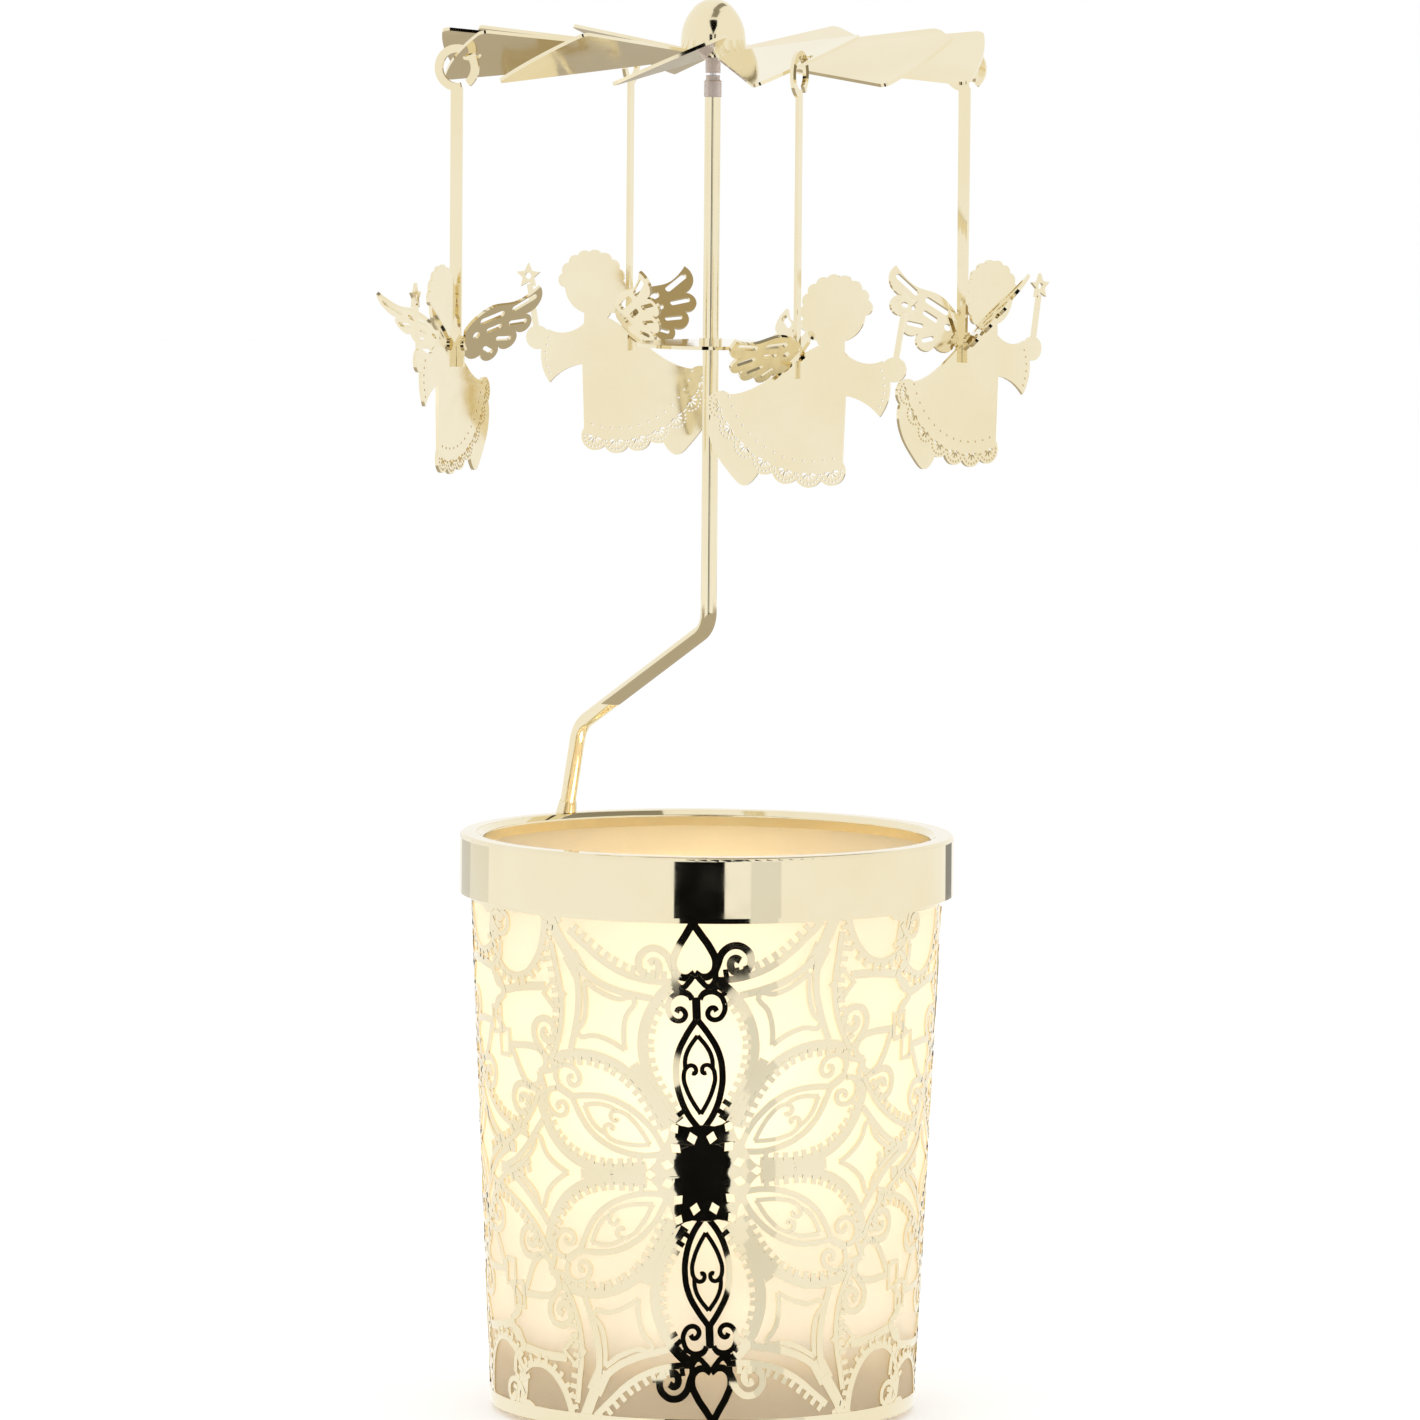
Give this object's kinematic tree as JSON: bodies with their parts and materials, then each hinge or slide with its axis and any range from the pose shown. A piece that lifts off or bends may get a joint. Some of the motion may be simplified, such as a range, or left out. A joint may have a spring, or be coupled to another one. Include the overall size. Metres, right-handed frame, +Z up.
{
  "type": "angel chime carousel",
  "caption": "Tealight tumbler in a pierced metal sleeve, with a collar ring, a bent wire post and a bladed rotor that carries hanging angels and turns in the candle's warm air.",
  "frame": {"origin": "middle of the flat underside of the glass tumbler", "axes": "+Z up along the axis of the tumbler and the rotor, -Y towards the viewer of the front rosette, +X to the viewer's right"},
  "size_m": [0.0969, 0.0937, 0.2026],
  "materials": {
    "gold": "polished, pale champagne gold plating",
    "frosted_glass": "frosted",
    "clear_plastic": "clear",
    "needle_steel": "ground",
    "cup_aluminium": "pressed foil",
    "wax": "smooth paraffin",
    "wick": "braided cotton"
  },
  "bodies": {
    "glass": {"glass_tumbler": "frosted_glass", "filigree_sleeve": "gold"},
    "stand": {"collar_ring": "gold", "post": "gold", "post_foot": "gold", "post_disc": "gold", "disc_eyelet": "gold", "needle_bush": "clear_plastic", "pivot_needle": "needle_steel"},
    "rotor": {"impeller": "gold", "dome_cap": "gold", "bearing_tube": "clear_plastic"},
    "pendant_1": {"wing_hanger_1": "gold", "angel_1": "gold"},
    "pendant_2": {"wing_hanger_2": "gold", "angel_2": "gold"},
    "pendant_3": {"wing_hanger_3": "gold", "angel_3": "gold"},
    "pendant_4": {"wing_hanger_4": "gold", "angel_4": "gold"},
    "tealight": {"tealight_cup": "cup_aluminium", "tealight_wax": "wax", "wick_sustainer": "cup_aluminium", "tealight_wick": "wick"}
  },
  "joints": [
    {"name": "ring_lift", "type": "slide", "parent": "glass", "child": "stand", "axis": [0, 0, 1], "range_m": [0, 0.03]},
    {"name": "tealight_lift", "type": "slide", "parent": "glass", "child": "tealight", "axis": [0, 0, 1], "range_m": [0, 0.0762]},
    {"name": "rotor_spin", "type": "hinge", "parent": "stand", "child": "rotor", "pos_m": [0, 0, 0.1994], "axis": [0, 0, 1], "continuous": true},
    {"name": "pendant_swing_1", "type": "hinge", "parent": "rotor", "child": "pendant_1", "pos_m": [0.03622, 0.01178, 0.19273], "axis": [-0.4147, -0.91, 0], "range_deg": [-20, 35]},
    {"name": "pendant_swing_2", "type": "hinge", "parent": "rotor", "child": "pendant_2", "pos_m": [-0.01201, 0.03618, 0.19283], "axis": [0.9426, -0.3338, 0], "range_deg": [-20, 35]},
    {"name": "pendant_swing_3", "type": "hinge", "parent": "rotor", "child": "pendant_3", "pos_m": [-0.03618, -0.01201, 0.19283], "axis": [0.3338, 0.9426, 0], "range_deg": [-20, 35]},
    {"name": "pendant_swing_4", "type": "hinge", "parent": "rotor", "child": "pendant_4", "pos_m": [0.01201, -0.03618, 0.19283], "axis": [-0.9426, 0.3338, 0], "range_deg": [-20, 35]}
  ]
}
